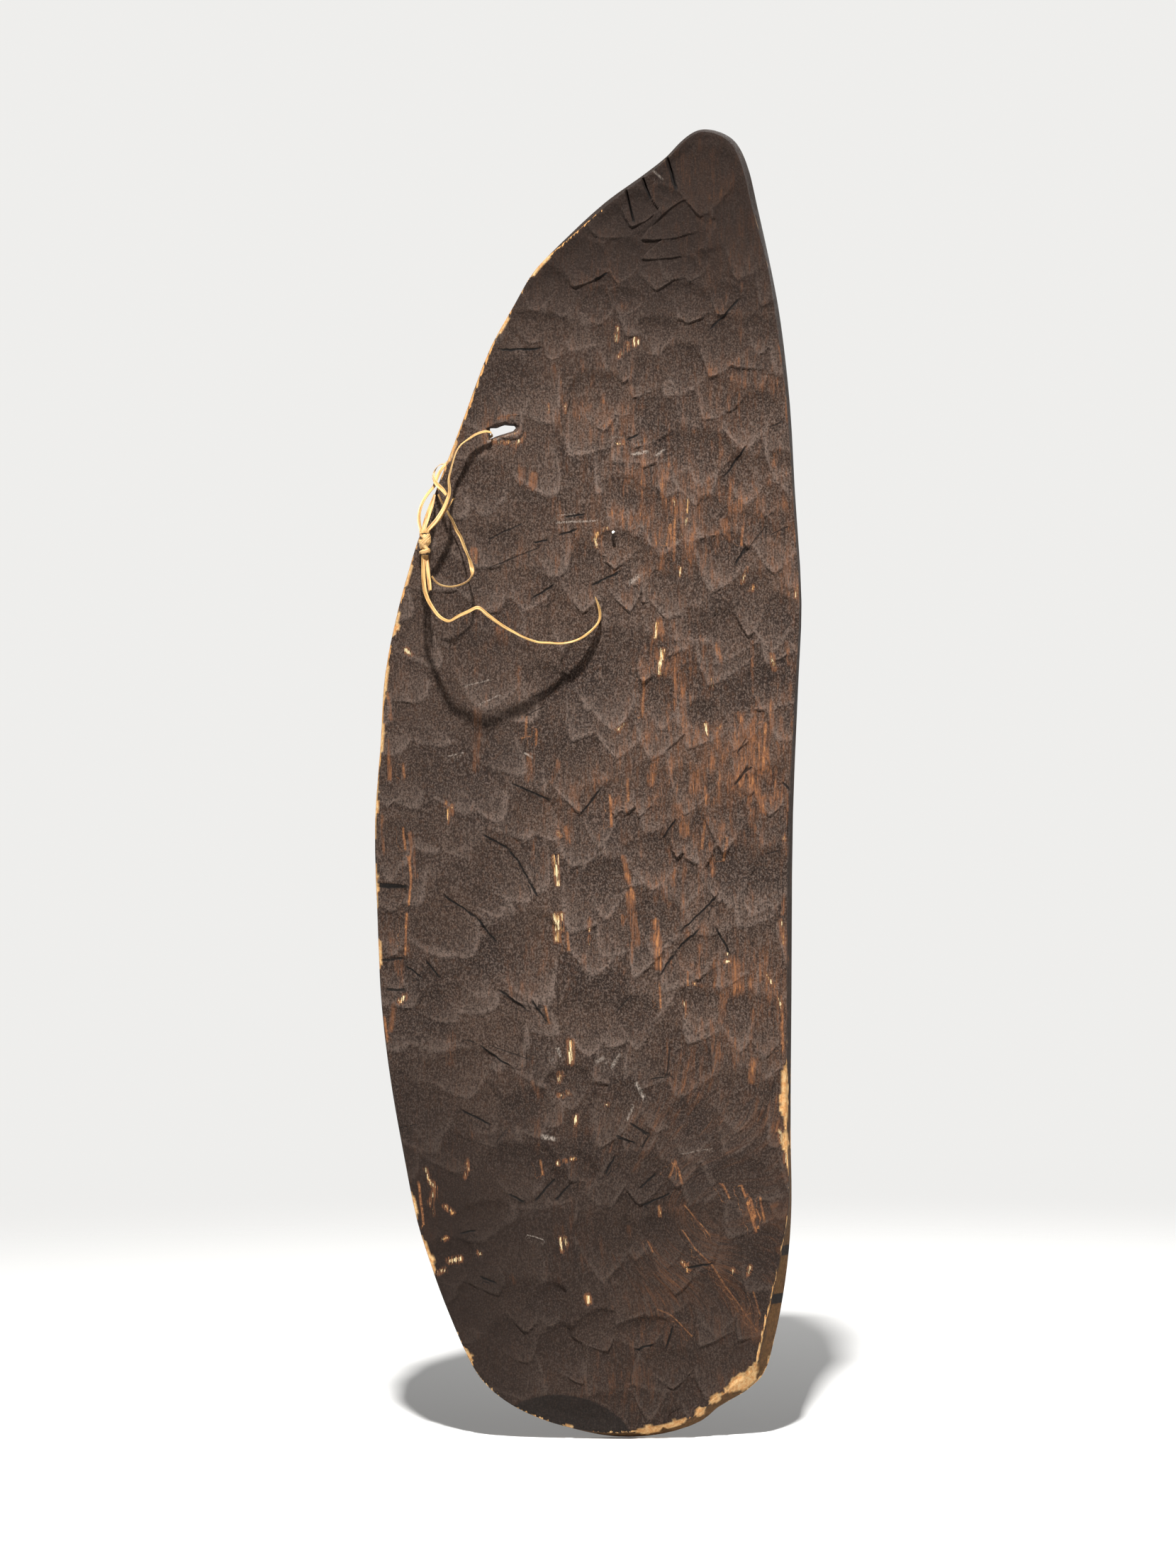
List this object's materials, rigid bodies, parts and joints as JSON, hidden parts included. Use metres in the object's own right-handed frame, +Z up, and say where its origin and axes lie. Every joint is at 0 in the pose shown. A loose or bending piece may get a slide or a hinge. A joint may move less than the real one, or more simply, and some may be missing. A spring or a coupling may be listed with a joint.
{
  "type": "carved wooden shield",
  "caption": "Long pointed shield hewn from one plank, adzed face forward, with a chiselled slot, a swinging plant-fibre tie knotted through it and a small nail.",
  "frame": {"origin": "middle of the flat land on the shield's back, at half its height, where it rests on a wall", "axes": "+Z up along the length to the pointed end, +Y out of the back into the wall, the adzed face looks along -Y, +X to the right as seen from the front"},
  "size_m": [0.3925, 0.0991, 1.2051],
  "materials": {
    "carved_wood": "hand-adzed and smoke-dark, matt, with raw wood at chipped edges",
    "nail_steel": "bright worn steel",
    "plant_fibre": "dry split palm-leaf strip, satin",
    "knotted_fibre": "dry split palm-leaf strip, wound tight"
  },
  "bodies": {
    "board": {"shield_board": "carved_wood", "nail": "nail_steel"},
    "tie": {"tie_front_strand": "plant_fibre", "tie_rear_strand": "plant_fibre", "tie_inner_strand": "plant_fibre", "tie_twist_loop": "plant_fibre", "tie_side_loop": "plant_fibre", "tie_upper_end": "plant_fibre", "tie_short_end": "plant_fibre", "tie_long_end": "plant_fibre", "tie_knot": "knotted_fibre"}
  },
  "joints": [
    {"name": "tie_swing", "type": "hinge", "parent": "board", "child": "tie", "pos_m": [-0.08824, 0, 0.32172], "axis": [0, 1, 0], "range_deg": [0, 70]}
  ]
}
